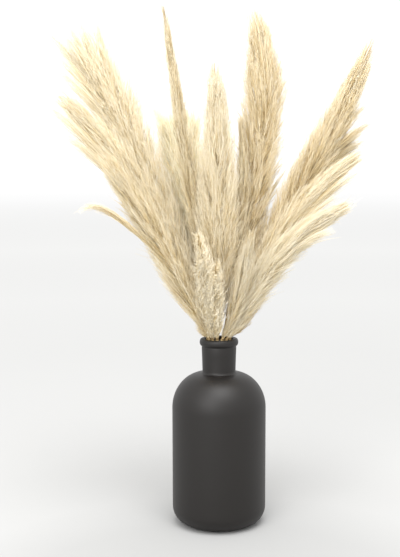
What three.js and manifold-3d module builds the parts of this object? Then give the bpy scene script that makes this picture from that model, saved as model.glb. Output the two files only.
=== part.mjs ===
// A bottle vase holding a bouquet of dried pampas grass.
// Millimetres, +Z up, origin at the middle of the vase's flat base, +Y away from the viewer.

import * as THREE from 'three';
import { mergeVertices } from 'three/addons/utils/BufferGeometryUtils.js';
import Module from 'manifold-3d';

const wasm = await Module();
wasm.setup();

// Driving dimensions of the vase
const BODY_RADIUS = 62.5;
const VASE_HEIGHT = 250;
const BASE_ROUND = 23;
const SHOULDER_START = 157;
const NECK_START = 203.6;
const NECK_RADIUS = 22.1;
const NECK_TOP_RADIUS = 23.1;
const RIM_RADIUS = 25.7;
const RIM_HALF_HEIGHT = 4.7;
const OPENING_RADIUS = 19;
const WALL = 4;
const VASE_FACETS = 32;

// Driving dimensions of the stalks
const STEM_RADIUS = 2;
const STEM_SIDES = 5;
const FOOT_HEIGHT = 7;
const FOOT_SPLAY = 1.5;
const FOOT_FORWARD = 18;
const LONG_BARE_STEM = 25;
const CLEARANCE = 0.4;
const GOLDEN_ANGLE = Math.PI * (3 - Math.sqrt(5));

// Each stalk leaves the mouth at a place of its own and arches along one curve to its tip.
// mouth is where it crosses the top of the neck, and rise and lean steer the arch to tip.
// bare is the length of stem that shows above the mouth, width the plume's half width,
// taper the share of the plume that narrows to its point, and blunt the width left there.
// Each finger is a long lock that stands off the plume: it leaves at a share of the stalk,
// and arch, where it has one, is how far its middle bows up, as a share of its length.
const STALKS = [
  {
    name: 'left_high', mouth: [-12.6, 8], rise: [-58, 15, 380], lean: [-124, 36, 526],
    tip: [-185, 55, 652], bare: 6, width: 34, taper: 0.24, blunt: 0.6, locks: 28,
    colour: '#d9c49c',
    fingers: [
      { from: 0.62, tip: [-236, 62, 664], thick: 3.6 },
      { from: 0.66, tip: [-205, 40, 650], thick: 3.6 },
      { from: 0.7, tip: [-164, 60, 670], thick: 3.2 },
      { from: 0.6, tip: [-211, 14, 601], thick: 5 },
    ],
  },
  {
    name: 'left_mid', mouth: [-14.8, 0], rise: [-58, -3, 361], lean: [-116, -11, 498],
    tip: [-207, -20, 568], bare: 6, width: 27, taper: 0.5, blunt: 0.2, locks: 26,
    colour: '#d4bb8f',
    fingers: [
      { from: 0.5, tip: [-212, -38, 549], thick: 3.2 },
      { from: 0.46, tip: [-192, -48, 516], thick: 3.6 },
    ],
  },
  {
    name: 'left_low', mouth: [-12.8, -7.4], rise: [-46, -15, 331], lean: [-95, -45, 418],
    tip: [-143, -72, 489], bare: 4, width: 18, taper: 0.35, blunt: 0.4, locks: 22,
    colour: '#cdb285',
    fingers: [
      { from: 0.35, tip: [-170, -84, 423], thick: 2.8, arch: 0.26 },
      { from: 0.45, tip: [-140, -56, 470], thick: 3 },
    ],
  },
  {
    name: 'centre_left', mouth: [-8, 1.5], rise: [-22, -1, 385], lean: [-53, -12, 543],
    tip: [-70, -25, 681], bare: 50, width: 13.5, taper: 0.72, blunt: 0.03, locks: 17,
    colour: '#c2a878', fingers: [],
  },
  {
    name: 'pale_back', mouth: [-8.5, 10.5], rise: [-26, 24, 350], lean: [-46, 58, 465],
    tip: [-61, 88, 557], bare: 60, width: 34, taper: 0.25, blunt: 0.6, locks: 20,
    colour: '#eadfc3',
    fingers: [
      { from: 0.6, tip: [-90, 80, 558], thick: 3.2 },
      { from: 0.6, tip: [-26, 84, 552], thick: 3.2 },
    ],
  },
  {
    name: 'centre', mouth: [-2, -7], rise: [-1, -11, 364], lean: [1, -25, 492],
    tip: [-6, -40, 609], bare: 20, width: 31, taper: 0.58, blunt: 0.05, locks: 25,
    colour: '#d8bf92', fingers: [],
  },
  {
    name: 'slim', mouth: [6, -4], rise: [20, -2, 347], lean: [42, 4, 436],
    tip: [27, 10, 542], bare: 66, width: 9, taper: 0.5, blunt: 0.05, locks: 11,
    colour: '#b79a67', fingers: [],
  },
  {
    name: 'tall', mouth: [11.5, 9.5], rise: [28, 17, 391], lean: [84, 39, 543],
    tip: [48, 60, 687], bare: 62, width: 30, taper: 0.3, blunt: 0.12, locks: 28,
    colour: '#cbb283',
    fingers: [
      { from: 0.3, tip: [89, 44, 472], thick: 2.2, arch: 0.03 },
      { from: 0.62, tip: [89, 52, 592], thick: 2.6 },
    ],
  },
  {
    name: 'right_high', mouth: [14.7, 2.4], rise: [75, 8, 385], lean: [147, 22, 506],
    tip: [202, 36, 638], bare: 6, width: 28, taper: 0.42, blunt: 0.12, locks: 28,
    colour: '#cfb183',
    fingers: [
      { from: 0.5, tip: [196, 50, 511], thick: 3 },
      { from: 0.56, tip: [196, 16, 532], thick: 3 },
    ],
  },
  {
    name: 'right_mid', mouth: [14, -5], rise: [47, -8, 335], lean: [97, -16, 438],
    tip: [183, -25, 494], bare: 5, width: 19, taper: 0.5, blunt: 0.2, locks: 20,
    colour: '#d6bb8c',
    fingers: [
      { from: 0.5, tip: [177, -38, 470], thick: 3 },
      { from: 0.4, tip: [148, -48, 440], thick: 2.8 },
    ],
  },
  {
    name: 'right_low', mouth: [10, -10.9], rise: [44, -19, 324], lean: [87, -48, 394],
    tip: [162, -76, 430], bare: 4, width: 20, taper: 0.45, blunt: 0.2, locks: 20,
    colour: '#dcc59a',
    fingers: [{ from: 0.48, tip: [137, -84, 397], thick: 3 }],
  },
  {
    name: 'front_left', mouth: [-8, -12.4], rise: [-22, -26, 292], lean: [-15, -58, 356],
    tip: [-27, -84, 397], bare: 4, width: 12, taper: 0.6, blunt: 0.06, locks: 12,
    colour: '#dcc8a3', fingers: [],
  },
  {
    name: 'front_middle', mouth: [-2.5, -14.6], rise: [-7, -32, 294], lean: [-6, -60, 330],
    tip: [-3, -84, 361], bare: 5, width: 12, taper: 0.6, blunt: 0.15, locks: 9,
    colour: '#d2ba90', fingers: [],
  },
  {
    name: 'front_right', mouth: [3.8, -14.2], rise: [26, -24, 295], lean: [33, -52, 350],
    tip: [39, -78, 393], bare: 4, width: 13, taper: 0.55, blunt: 0.15, locks: 12,
    colour: '#cfb588', fingers: [],
  },
];

// Every plume: its core and its width along the stalk, as shares
const CORE_SHARE = 0.55;
const BASE_WIDTH_SHARE = 0.6;
const SWELL_SHARE = 0.25;
const NARROWING_POWER = 1.4;
const CORE_SIDES = 5;
const CORE_RING_SPACING = 44;

// Every lock: where it leaves the plume, how far it reaches and how far out its belly and tip stand
const FIRST_ROOT = 0.02;
const ROOT_SPAN = 0.8;
const ROOT_DEPTH = 0.5;
const LOCK_LENGTH = 76;
const LAST_REACH = 0.985;
const BELLY_SHARE = 0.72;
const TIP_SHARE = 0.95;
const TIP_SPREAD = 0.3;
const LOCK_THICKNESS_SHARE = 0.27;
const FINGER_ARCH = 0.1;

// Room that a lock keeps free: balls along it, checked at a few lengths from full to short
const BALL_SPACING = 4;
const LEAST_BALL = 2.2;
const ROOT_LEFT_OUT = 3;
const LENGTHS_TRIED = [1, 0.85, 0.7, 0.55, 0.42];
const SPINE_SAMPLES = 60;

// The fractional part of a multiple of the golden ratio spreads values evenly without a pattern.
function spread(index, offset = 0) {
  return (index * 0.618034 + offset) % 1;
}

function ramp(value, low, high) {
  const share = Math.min(Math.max((value - low) / (high - low), 0), 1);
  return share * share * (3 - 2 * share);
}

// A quarter turn of an ellipse round (centreX, centreY), as points of a lathe profile
function arc(centreX, centreY, radiusX, radiusY, from, to, steps) {
  return Array.from({ length: steps }, (_, step) => {
    const angle = from + ((to - from) * (step + 1)) / steps;
    return new THREE.Vector2(centreX + radiusX * Math.cos(angle), centreY + radiusY * Math.sin(angle));
  });
}

// Closed geometry as a solid: shared corners are merged and faces with no area dropped.
function solidOf(geometry) {
  geometry.deleteAttribute('normal');
  geometry.deleteAttribute('uv');
  const merged = mergeVertices(geometry, 1e-4);
  const triangles = [];
  for (let corner = 0; corner < merged.index.count; corner += 3) {
    const face = [0, 1, 2].map((step) => merged.index.getX(corner + step));
    if (new Set(face).size === 3) {
      triangles.push(...face);
    }
  }
  return new wasm.Manifold(new wasm.Mesh({
    numProp: 3,
    vertProperties: new Float32Array(merged.attributes.position.array),
    triVerts: new Uint32Array(triangles),
  }));
}

function geometryOf(solid) {
  const mesh = solid.getMesh();
  const geometry = new THREE.BufferGeometry();
  geometry.setAttribute('position', new THREE.BufferAttribute(mesh.vertProperties, 3));
  geometry.setIndex(new THREE.BufferAttribute(mesh.triVerts, 1));
  return geometry;
}

// Vase: one turned profile from the middle of the base, up the outside and down the inside
function vaseProfile() {
  const rimMiddle = VASE_HEIGHT - RIM_HALF_HEIGHT;
  const innerRadius = BODY_RADIUS - WALL;
  return [
    new THREE.Vector2(0, 0),
    new THREE.Vector2(BODY_RADIUS - BASE_ROUND, 0),
    ...arc(BODY_RADIUS - BASE_ROUND, BASE_ROUND, BASE_ROUND, BASE_ROUND, -Math.PI / 2, 0, 4),
    new THREE.Vector2(BODY_RADIUS, SHOULDER_START),
    ...arc(NECK_RADIUS, SHOULDER_START, BODY_RADIUS - NECK_RADIUS, NECK_START - SHOULDER_START,
      0, Math.PI / 2, 6).slice(0, -1),
    new THREE.Vector2(NECK_RADIUS + 3, NECK_START - 0.4),
    new THREE.Vector2(NECK_RADIUS, NECK_START + 2.5),
    new THREE.Vector2(NECK_TOP_RADIUS, rimMiddle - RIM_HALF_HEIGHT),
    ...arc(NECK_TOP_RADIUS, rimMiddle, RIM_RADIUS - NECK_TOP_RADIUS, RIM_HALF_HEIGHT,
      -Math.PI / 2, Math.PI / 2, 4),
    new THREE.Vector2(OPENING_RADIUS + 1.2, VASE_HEIGHT),
    new THREE.Vector2(OPENING_RADIUS, VASE_HEIGHT - 1.5),
    new THREE.Vector2(OPENING_RADIUS, NECK_START - WALL),
    ...arc(OPENING_RADIUS, SHOULDER_START, innerRadius - OPENING_RADIUS, NECK_START - WALL - SHOULDER_START,
      Math.PI / 2, 0, 3).slice(0, -1),
    new THREE.Vector2(innerRadius, SHOULDER_START),
    new THREE.Vector2(innerRadius, BASE_ROUND),
    new THREE.Vector2(BODY_RADIUS - BASE_ROUND, WALL),
    new THREE.Vector2(0, WALL),
  ];
}

function makeVase() {
  return geometryOf(solidOf(turned(vaseProfile(), VASE_FACETS)));
}

// LatheGeometry turns about Y, so the profile is stood up along Z.
function turned(profile, sides) {
  return new THREE.LatheGeometry(profile, sides).rotateX(Math.PI / 2);
}

// The arch of a stalk from the mouth to its tip
function archOf(stalk) {
  const mouth = new THREE.Vector3(...stalk.mouth, VASE_HEIGHT);
  const [rise, lean, tip] = [stalk.rise, stalk.lean, stalk.tip].map((place) => new THREE.Vector3(...place));
  return new THREE.CubicBezierCurve3(mouth, rise, lean, tip);
}

// Two directions square to a tangent: one across, towards +X, and one back, towards +Y
function sideways(tangent) {
  const across = new THREE.Vector3(0, 1, 0).cross(tangent).normalize();
  const back = tangent.clone().cross(across);
  return { across, back };
}

function outward(curve, share, angle) {
  const { across, back } = sideways(curve.getTangentAt(share));
  return across.multiplyScalar(Math.cos(angle)).add(back.multiplyScalar(Math.sin(angle)));
}

// Half the plume's width at a share of the stalk: it swells from its base and narrows to its tip.
function halfWidth(stalk, start, share) {
  const along = (share - start) / (1 - start);
  const swell = BASE_WIDTH_SHARE + (1 - BASE_WIDTH_SHARE) * ramp(along, 0, SWELL_SHARE);
  const narrowing = Math.max((along - 1 + stalk.taper) / stalk.taper, 0);
  return stalk.width * swell * (1 - (1 - stalk.blunt) * Math.min(narrowing, 1) ** NARROWING_POWER);
}

const plants = STALKS.map((stalk) => {
  const arch = archOf(stalk);
  const length = arch.getLength();
  return { ...stalk, arch, length, start: stalk.bare / length };
});

for (const plant of plants) {
  plant.spine = plant.arch.getSpacedPoints(SPINE_SAMPLES);
}

// Half the way from a point to the nearest other stalk, less the clearance
function roomAt(plant, point) {
  const others = plants.filter((other) => other !== plant);
  const nearest = Math.min(...others.flatMap((other) => other.spine.map((place) => place.distanceTo(point))));
  return nearest / 2 - CLEARANCE;
}

function coreRadius(plant, share) {
  const wanted = CORE_SHARE * halfWidth(plant, plant.start, share);
  return Math.max(Math.min(wanted, roomAt(plant, plant.arch.getPointAt(share))), STEM_RADIUS - 0.4);
}

// A lathe form whose height runs from 0 to 1 is bent so that its axis follows a curve.
function bent(profile, sides, curve) {
  const geometry = new THREE.LatheGeometry(profile, sides);
  const places = geometry.attributes.position;
  for (let corner = 0; corner < places.count; corner += 1) {
    const share = Math.min(Math.max(places.getY(corner), 0), 1);
    const { across, back } = sideways(curve.getTangent(share));
    const place = curve.getPoint(share)
      .addScaledVector(across, places.getX(corner))
      .addScaledVector(back, -places.getZ(corner));
    places.setXYZ(corner, place.x, place.y, place.z);
  }
  return geometry;
}

// Core of a plume: its rachis with the dense down close round it
function makeCore(plant) {
  const steps = Math.max(3, Math.round((plant.length * (1 - plant.start)) / CORE_RING_SPACING));
  const rachis = part(plant.arch, plant.start, 1);
  const rings = Array.from({ length: steps }, (_, step) => {
    const along = step / steps;
    return new THREE.Vector2(coreRadius(plant, plant.start + along * (1 - plant.start)), along);
  });
  return bent([new THREE.Vector2(0, 0), ...rings, new THREE.Vector2(0, 1)], CORE_SIDES, rachis);
}

// The stretch of a curve between two shares of its length
function part(curve, from, to) {
  const points = Array.from({ length: 17 }, (_, step) => curve.getPointAt(from + ((to - from) * step) / 16));
  return new THREE.CatmullRomCurve3(points);
}

// One lock of down: a slender spindle from its root in the core, out and up to a point
function lockCurve(plant, index) {
  const { arch, start, locks } = plant;
  const angle = index * GOLDEN_ANGLE;
  const root = start + (1 - start) * (FIRST_ROOT + ROOT_SPAN * ((index + 0.5) / locks));
  const lockLength = LOCK_LENGTH * (0.75 + 0.5 * spread(index, 0.3));
  const reach = Math.min(root + lockLength / plant.length, LAST_REACH);
  const middle = (root + reach) / 2;
  const aside = (share, distance) => arch.getPointAt(share)
    .addScaledVector(outward(arch, share, angle), distance);
  return {
    from: aside(root, ROOT_DEPTH * coreRadius(plant, root)),
    belly: aside(middle, BELLY_SHARE * halfWidth(plant, start, middle)),
    tip: aside(reach, (TIP_SHARE + TIP_SPREAD * spread(index)) * halfWidth(plant, start, reach)),
    radius: LOCK_THICKNESS_SHARE * plant.width * (0.8 + 0.4 * spread(index, 0.7)),
  };
}

// A finger leaves the core along the stalk and then bends over to its own tip.
function fingerCurve(plant, finger) {
  const from = plant.arch.getPointAt(finger.from);
  const tip = new THREE.Vector3(...finger.tip);
  const bow = (finger.arch ?? FINGER_ARCH) * from.distanceTo(tip);
  const belly = from.clone().lerp(tip, 0.5)
    .addScaledVector(plant.arch.getTangentAt(finger.from), bow);
  return { from, belly, tip, radius: finger.thick };
}

function makeLock({ from, belly, tip, radius }) {
  const profile = [new THREE.Vector2(0, 0), new THREE.Vector2(radius, 0.5), new THREE.Vector2(0, 1)];
  return bent(profile, 3, new THREE.CatmullRomCurve3([from, belly, tip]));
}

// Balls along a lock or a core, which stand for the room that it takes
function ballsOfLock({ from, belly, tip, radius }) {
  const balls = [];
  for (const [low, high, lowRadius, highRadius] of [[from, belly, 0, radius], [belly, tip, radius, 0]]) {
    const count = Math.ceil(low.distanceTo(high) / BALL_SPACING);
    for (let step = 0; step <= count; step += 1) {
      const share = step / count;
      balls.push({
        at: low.clone().lerp(high, share),
        radius: Math.max(lowRadius + (highRadius - lowRadius) * share, LEAST_BALL),
      });
    }
  }
  return balls;
}

function ballsOfCore(plant) {
  const count = Math.ceil(plant.length / BALL_SPACING);
  return Array.from({ length: count + 1 }, (_, step) => {
    const share = step / count;
    const radius = share < plant.start ? STEM_RADIUS : coreRadius(plant, share);
    return { at: plant.arch.getPointAt(share), radius: Math.max(radius, LEAST_BALL) };
  });
}

function hitsRim(ball) {
  const overRim = Math.hypot(ball.at.x, ball.at.y) < RIM_RADIUS + ball.radius;
  return overRim && ball.at.z < VASE_HEIGHT + ball.radius + 1;
}

function isClear(plant, balls) {
  return balls.every((ball) => !hitsRim(ball) && plants.every((other) => other === plant
    || other.balls.every((taken) => taken.at.distanceTo(ball.at) > taken.radius + ball.radius + CLEARANCE)));
}

// A lock keeps the first of a few lengths at which it is clear of the other plumes.
function fitted(plant, lock) {
  for (const share of LENGTHS_TRIED) {
    const tried = {
      from: lock.from,
      belly: lock.from.clone().lerp(lock.belly, share),
      tip: lock.from.clone().lerp(lock.tip, share),
      radius: lock.radius * (0.4 + 0.6 * share),
    };
    const outside = ballsOfLock(tried).filter((ball) => ball.at.distanceTo(lock.from) > ROOT_LEFT_OUT);
    if (isClear(plant, outside)) {
      return { tried, outside };
    }
  }
  return null;
}

for (const plant of plants) {
  plant.balls = ballsOfCore(plant);
  plant.fitted = [];
}

function addIfClear(plant, lock) {
  const found = fitted(plant, lock);
  if (found) {
    plant.balls.push(...found.outside);
    plant.fitted.push(found.tried);
  }
}

// Steps round a plume between its turns, with no factor in common with any number of locks
const TURN_STRIDE = 19;

// The long fingers go first, then the plumes take turns, so that each gets its share of the room.
const MOST_LOCKS = Math.max(...plants.map((plant) => plant.locks));
for (const plant of plants) {
  plant.fingers.forEach((finger) => addIfClear(plant, fingerCurve(plant, finger)));
}
for (let turn = 0; turn < MOST_LOCKS; turn += 1) {
  for (const plant of plants) {
    if (turn < plant.locks) {
      const index = (turn * TURN_STRIDE) % plant.locks;
      addIfClear(plant, lockCurve(plant, index));
    }
  }
}

function makePlume(plant) {
  const locks = plant.fitted.map((lock) => solidOf(makeLock(lock)));
  return geometryOf(locks.reduce((joined, lock) => joined.add(lock), solidOf(makeCore(plant))));
}

// Stem: from its foot on the floor of the vase, up through the neck and on to the plume
function makeStem(plant) {
  const [x, y] = plant.mouth;
  const top = plant.start - CLEARANCE / plant.length;
  const shares = plant.bare > LONG_BARE_STEM ? [0, 0.3, 0.65, 1] : [0, 1];
  const route = [
    new THREE.Vector3(x * FOOT_SPLAY, y * FOOT_SPLAY - FOOT_FORWARD, FOOT_HEIGHT),
    new THREE.Vector3(x, y, NECK_START - 8),
    new THREE.Vector3(x, y, VASE_HEIGHT - 12),
    ...shares.map((share) => plant.arch.getPointAt(top * share)),
  ];
  const rings = route.map((_, step) => new THREE.Vector2(STEM_RADIUS, step / (route.length - 1)));
  const profile = [new THREE.Vector2(0, 0), ...rings, new THREE.Vector2(0, 1)];
  return geometryOf(solidOf(bent(profile, STEM_SIDES, new THREE.CatmullRomCurve3(route))));
}

function named(name, geometry, colour, roughness) {
  const material = new THREE.MeshStandardMaterial({ color: colour, roughness, metalness: 0 });
  const mesh = new THREE.Mesh(geometry, material);
  mesh.name = name;
  return mesh;
}

const bouquet = new THREE.Group();
bouquet.add(named('vase', makeVase(), '#3a3836', 0.55));
for (const plant of plants) {
  bouquet.add(named(`stem_${plant.name}`, makeStem(plant), '#b3935c', 0.7));
  bouquet.add(named(`plume_${plant.name}`, makePlume(plant), plant.colour, 0.9));
}

export default bouquet;
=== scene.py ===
"""A bouquet of dried pampas grass in a matt black bottle vase.

Metres and +Z up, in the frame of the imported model: the origin is the middle of the vase's flat base and
+Y points away from the viewer. Sizes of the vase and the stalks are millimetres, turned to metres as a mesh
is made, and the studio's are metres.
"""

import logging
import math
from collections.abc import Iterable
from dataclasses import dataclass, field
from enum import Enum

import bpy
import numpy as np
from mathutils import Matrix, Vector


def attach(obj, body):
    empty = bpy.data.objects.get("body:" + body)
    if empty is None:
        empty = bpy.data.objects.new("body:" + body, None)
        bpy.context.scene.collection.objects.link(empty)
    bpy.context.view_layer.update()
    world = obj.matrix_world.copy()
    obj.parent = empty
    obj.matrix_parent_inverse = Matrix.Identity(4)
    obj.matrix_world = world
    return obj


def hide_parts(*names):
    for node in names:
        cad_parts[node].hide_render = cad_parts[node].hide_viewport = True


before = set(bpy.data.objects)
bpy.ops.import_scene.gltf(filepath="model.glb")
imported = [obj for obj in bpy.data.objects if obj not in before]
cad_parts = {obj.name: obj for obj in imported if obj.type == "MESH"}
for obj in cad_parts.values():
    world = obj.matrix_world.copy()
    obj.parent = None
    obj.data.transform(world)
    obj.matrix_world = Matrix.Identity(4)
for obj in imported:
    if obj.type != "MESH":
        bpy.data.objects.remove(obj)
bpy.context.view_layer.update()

LOG = logging.getLogger("pampas_vase")
MM = 0.001
ROOT = "root"
GOLDEN_SHARE = 0.618034
GOLDEN_ANGLE = math.pi * (3 - math.sqrt(5))
FIRST_SEED = 700
STRAND_MAP = "Strand"
BAKE_MAP = "OFBake"
MAP_MARGIN = 0.004
# Corners of one face differ by this much in tone, so that no face is a bare line in the maps
TONE_STEP = 0.006
BACKWARDS = (0.0, 1.0, 0.0)
# A little off straight back, as a lock can point just there
NEARLY_BACKWARDS = (0.0, 1.0, 0.05)

Pair = tuple[float, float]
Point = tuple[float, float, float]


def linear(colour: str) -> tuple[float, float, float, float]:
    """Turn an sRGB hex colour to linear light.

    Args:
        colour: The colour as "#rrggbb".

    Returns:
        Red, green and blue in linear light, with an alpha of 1.
    """
    channels = [int(colour[place:place + 2], 16) / 255 for place in (1, 3, 5)]
    bright = [c / 12.92 if c <= 0.04045 else ((c + 0.055) / 1.055) ** 2.4 for c in channels]
    return (*bright, 1.0)


def spread(index: np.ndarray, offset: float = 0.0) -> np.ndarray:
    """Spread values evenly from 0 to 1 with no pattern, by multiples of the golden share."""
    return (index * GOLDEN_SHARE + offset) % 1


def ramp(value: np.ndarray, low: float, high: float) -> np.ndarray:
    """Ease from 0 at low to 1 at high."""
    share = np.clip((value - low) / (high - low), 0, 1)
    return share * share * (3 - 2 * share)


def between(share: np.ndarray, ends: tuple) -> np.ndarray:
    """Values at shares of the way from the first end to the second."""
    return ends[0] + (ends[1] - ends[0]) * share


def unit(vectors: np.ndarray) -> np.ndarray:
    """Scale vectors to a length of 1 along their last axis."""
    return vectors / np.maximum(np.linalg.norm(vectors, axis=-1, keepdims=True), 1e-9)


def distances(places: np.ndarray) -> np.ndarray:
    """How far along its path each place lies."""
    return np.concatenate([[0], np.cumsum(np.linalg.norm(np.diff(places, axis=0), axis=1))])


def walk(lines: np.ndarray, which: np.ndarray, share: np.ndarray) -> tuple[np.ndarray, np.ndarray]:
    """Find places along lines of even steps.

    Args:
        lines: Points of each line.
        which: Number of the line for each place.
        share: How far along it the place is, which may be a little outside 0 to 1.

    Returns:
        The places, and the lines' steps there.
    """
    spot = share * (lines.shape[1] - 1)
    low = np.clip(np.floor(spot).astype(int), 0, lines.shape[1] - 2)
    part = (spot - low)[..., None]
    before, after = lines[which, low], lines[which, low + 1]
    return before * (1 - part) + after * part, after - before


def add_node(
    tree: bpy.types.NodeTree,
    kind: str,
    settings: dict | None = None,
    links: dict | None = None,
) -> bpy.types.Node:
    """Add one node to a tree.

    Args:
        tree: The node tree.
        kind: Blender's name for the kind of node.
        settings: Values by input name, or by property name where the node has no such input.
        links: Output sockets by the name or number of the input that each one feeds.

    Returns:
        The new node.
    """
    node = tree.nodes.new(kind)
    for name, value in (settings or {}).items():
        if name in node.inputs:
            node.inputs[name].default_value = value
        else:
            setattr(node, name, value)
    for name, output in (links or {}).items():
        tree.links.new(node.inputs[name], output)
    return node


def set_stops(node: bpy.types.Node, stops: Iterable[tuple[float, str]]) -> None:
    """Set the stops of a colour ramp.

    Args:
        node: A colour ramp node.
        stops: Place from 0 to 1 and sRGB hex colour of each stop, in order.
    """
    stops = list(stops)
    elements = node.color_ramp.elements
    while len(elements) < len(stops):
        elements.new(1.0)
    for element, (place, colour) in zip(elements, stops):
        element.position = place
        element.color = linear(colour)


class Finish:
    """The finish of one real material, none of them a metal."""

    name: str
    ior: float
    roughness: float

    def surface(self, tree: bpy.types.NodeTree) -> tuple[dict, dict]:
        """Add the nodes of the pattern to a tree, and return the shader's own settings and links."""
        raise NotImplementedError

    def build(self) -> bpy.types.Material:
        """Make the material.

        Returns:
            The material.
        """
        material = bpy.data.materials.new(self.name)
        material.use_nodes = True
        tree = material.node_tree
        tree.nodes.clear()
        settings, links = self.surface(tree)
        settings |= {"IOR": self.ior, "Roughness": self.roughness, "Metallic": 0.0}
        shader = add_node(tree, "ShaderNodeBsdfPrincipled", settings, links)
        add_node(tree, "ShaderNodeOutputMaterial", links={"Surface": shader.outputs["BSDF"]})
        return material


@dataclass(frozen=True)
class SprayedGlass(Finish):
    """Blown glass, sprayed matt black and air dried.

    The paint's fine grit spreads every reflection, so the eye sees charcoal with broad, soft lights.
    """

    name: str = "black_sprayed_glass"
    colour: str = "#120e0b"
    ior: float = 1.48
    roughness: float = 0.5
    grit_mm: float = 0.9
    grit_detail: float = 2.0
    grit_height_mm: float = 0.02
    grit_strength: float = 0.35

    def surface(self, tree: bpy.types.NodeTree) -> tuple[dict, dict]:
        """Add the paint's grit.

        Args:
            tree: The material's tree.

        Returns:
            The shader's own settings and links.
        """
        place = add_node(tree, "ShaderNodeTexCoord")
        # Paint grit is about 0.1 mm, and it is drawn at 0.9 mm so that it shows at all
        grit = add_node(
            tree,
            "ShaderNodeTexNoise",
            {"Scale": 1 / (self.grit_mm * MM), "Detail": self.grit_detail},
            {"Vector": place.outputs["Object"]},
        )
        bump = add_node(
            tree,
            "ShaderNodeBump",
            {"Strength": self.grit_strength, "Distance": self.grit_height_mm * MM},
            {"Height": grit.outputs["Fac"]},
        )
        return {"Base Color": linear(self.colour)}, {"Normal": bump.outputs["Normal"]}


@dataclass(frozen=True)
class DriedStem(Finish):
    """Pampas cane, cut and air dried: the eye sees straw yellow with a long, browner grain."""

    name: str = "dried_pampas_cane"
    dark: str = "#8a6a3c"
    light: str = "#d8bf8c"
    stops: Pair = (0.3, 0.7)
    ior: float = 1.5
    roughness: float = 0.55
    grain_mm: float = 0.8
    grain_detail: float = 3.0
    grain_stretch: float = 0.06

    def surface(self, tree: bpy.types.NodeTree) -> tuple[dict, dict]:
        """Add the cane's grain.

        Args:
            tree: The material's tree.

        Returns:
            The shader's own settings and links.
        """
        place = add_node(tree, "ShaderNodeTexCoord")
        stretch = {"Scale": (1.0, 1.0, self.grain_stretch)}
        stretched = add_node(tree, "ShaderNodeMapping", stretch, {"Vector": place.outputs["Object"]})
        # The cane's fibres are about 0.2 mm wide, and they are drawn at 0.8 mm so that they show
        grain = add_node(
            tree,
            "ShaderNodeTexNoise",
            {"Scale": 1 / (self.grain_mm * MM), "Detail": self.grain_detail},
            {"Vector": stretched.outputs["Vector"]},
        )
        shades = add_node(tree, "ShaderNodeValToRGB", links={"Fac": grain.outputs["Fac"]})
        set_stops(shades, zip(self.stops, (self.dark, self.light)))
        return {}, {"Base Color": shades.outputs["Color"]}


@dataclass(frozen=True)
class DriedDown(Finish):
    """Silky pampas down, ripened and air dried: matt cream hairs that darken towards their roots, partly
    their own paler tips and partly painted shade at the roots.

    The colour depends only on a hair's tone and on the place along it, which its mesh carries as a UV map.
    Each tone has a colour, and tips is mixed in from paling_from to the hair's end. The tones carry painted
    light and shade as well as the down's own tone.
    """

    name: str
    tones: tuple[str, ...]
    tips: str
    stops: tuple[float, ...] = (0.0, 0.38, 0.68, 1.0)
    paling_from: float = 0.35
    paling: float = 0.6
    ior: float = 1.5
    roughness: float = 0.75

    def surface(self, tree: bpy.types.NodeTree) -> tuple[dict, dict]:
        """Add the colours of the hairs' tones and tips.

        Args:
            tree: The material's tree.

        Returns:
            The shader's own settings and links.
        """
        hair = add_node(tree, "ShaderNodeUVMap", {"uv_map": STRAND_MAP})
        parts = add_node(tree, "ShaderNodeSeparateXYZ", links={"Vector": hair.outputs["UV"]})
        tones = add_node(tree, "ShaderNodeValToRGB", links={"Fac": parts.outputs["X"]})
        set_stops(tones, zip(self.stops, self.tones))
        # Paler towards each hair's end: partly the down's own paler tips, partly painted shade at the roots
        ends = add_node(
            tree,
            "ShaderNodeMapRange",
            {"From Min": self.paling_from, "From Max": 1.0, "To Min": 0.0, "To Max": self.paling},
            {"Value": parts.outputs["Y"]},
        )
        # A colour mix has its factor and two colours at inputs 0, 6 and 7, and its colour at output 2
        mixed = {0: ends.outputs["Result"], 6: tones.outputs["Color"]}
        paled = add_node(tree, "ShaderNodeMix", {"data_type": "RGBA"}, mixed)
        paled.inputs[7].default_value = linear(self.tips)
        return {}, {"Base Color": paled.outputs[2]}


class Down(Enum):
    """The record's slots for the plumes, each with its dried down."""

    STRAW = "plume_straw"
    PALE = "plume_pale"
    TAN = "plume_tan"

    def finish(self) -> DriedDown:
        """The finish that this slot takes."""
        return {
            Down.STRAW: DriedDown("straw_down", ("#92703c", "#d6bf88", "#f1e2be", "#f6edd6"), "#f3eee0"),
            Down.PALE: DriedDown("cream_down", ("#b08a4c", "#e6cb90", "#f9ebc2", "#fbf4dc"), "#f9f5e6"),
            Down.TAN: DriedDown("tan_down", ("#806339", "#c3aa76", "#e4d3a9", "#f2e8ce"), "#f1ecdc"),
        }[self]


class Habit(Enum):
    """How the down lies: combed along the plume, or in woolly curls."""

    SLEEK = "sleek"
    WOOLLY = "woolly"


@dataclass(frozen=True)
class Finger:
    """A long lock that stands off its plume.

    leaves is the share of the stalk at which it starts, thick its radius and bow its bend against its length.
    """

    leaves: float
    tip: Point
    thick: float
    bow: float = 0.1


@dataclass(frozen=True)
class Stalk:
    """One stalk's arch from the mouth of the vase to its tip, and the plume on it.

    mouth is where it crosses the top of the neck, and rise and lean steer the arch to tip. bare is the length
    of stem above the mouth. width is the plume's half width, taper the share that narrows to the point, blunt
    the share of the width left there, and paleness what its down has more in tone.
    """

    name: str
    mouth: Pair
    rise: Point
    lean: Point
    tip: Point
    bare: float
    width: float
    taper: float
    blunt: float
    down: Down = Down.STRAW
    habit: Habit = Habit.SLEEK
    paleness: float = 0.0
    fingers: tuple[Finger, ...] = ()


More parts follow.
